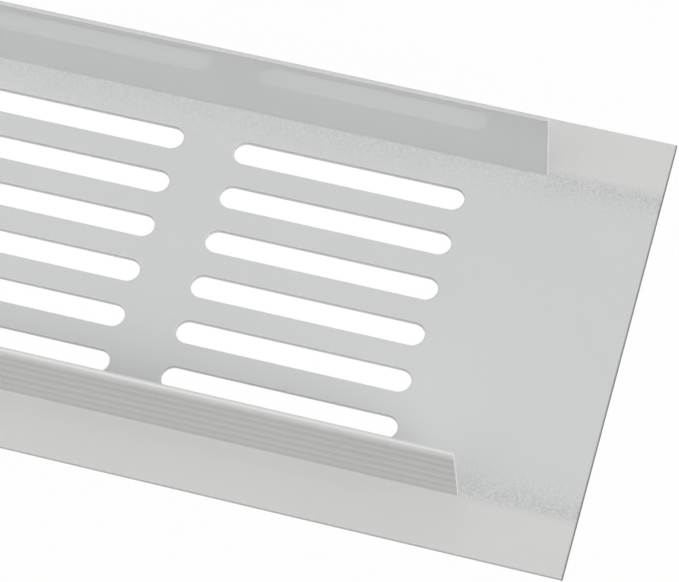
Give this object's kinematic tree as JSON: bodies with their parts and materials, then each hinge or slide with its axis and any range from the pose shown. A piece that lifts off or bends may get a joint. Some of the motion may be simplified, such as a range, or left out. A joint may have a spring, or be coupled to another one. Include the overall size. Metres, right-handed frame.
{
  "type": "air supply grille",
  "caption": "Flat rectangular aluminium ventilation grille with rows of round-ended air slots and barbed clamping fins along its back, for a cut-out in a worktop, plinth or cabinet panel.",
  "frame": {"origin": "middle of the show face, which lies on the surface below", "axes": "+X along the grille's length and its fins, +Y across its width, +Z out of the back, the way the fins point"},
  "size_m": [0.3, 0.08, 0.0187],
  "materials": {
    "anodised_aluminium": "silver anodised, fine satin grain"
  },
  "bodies": {
    "root": {"grille": "anodised_aluminium"}
  },
  "joints": []
}
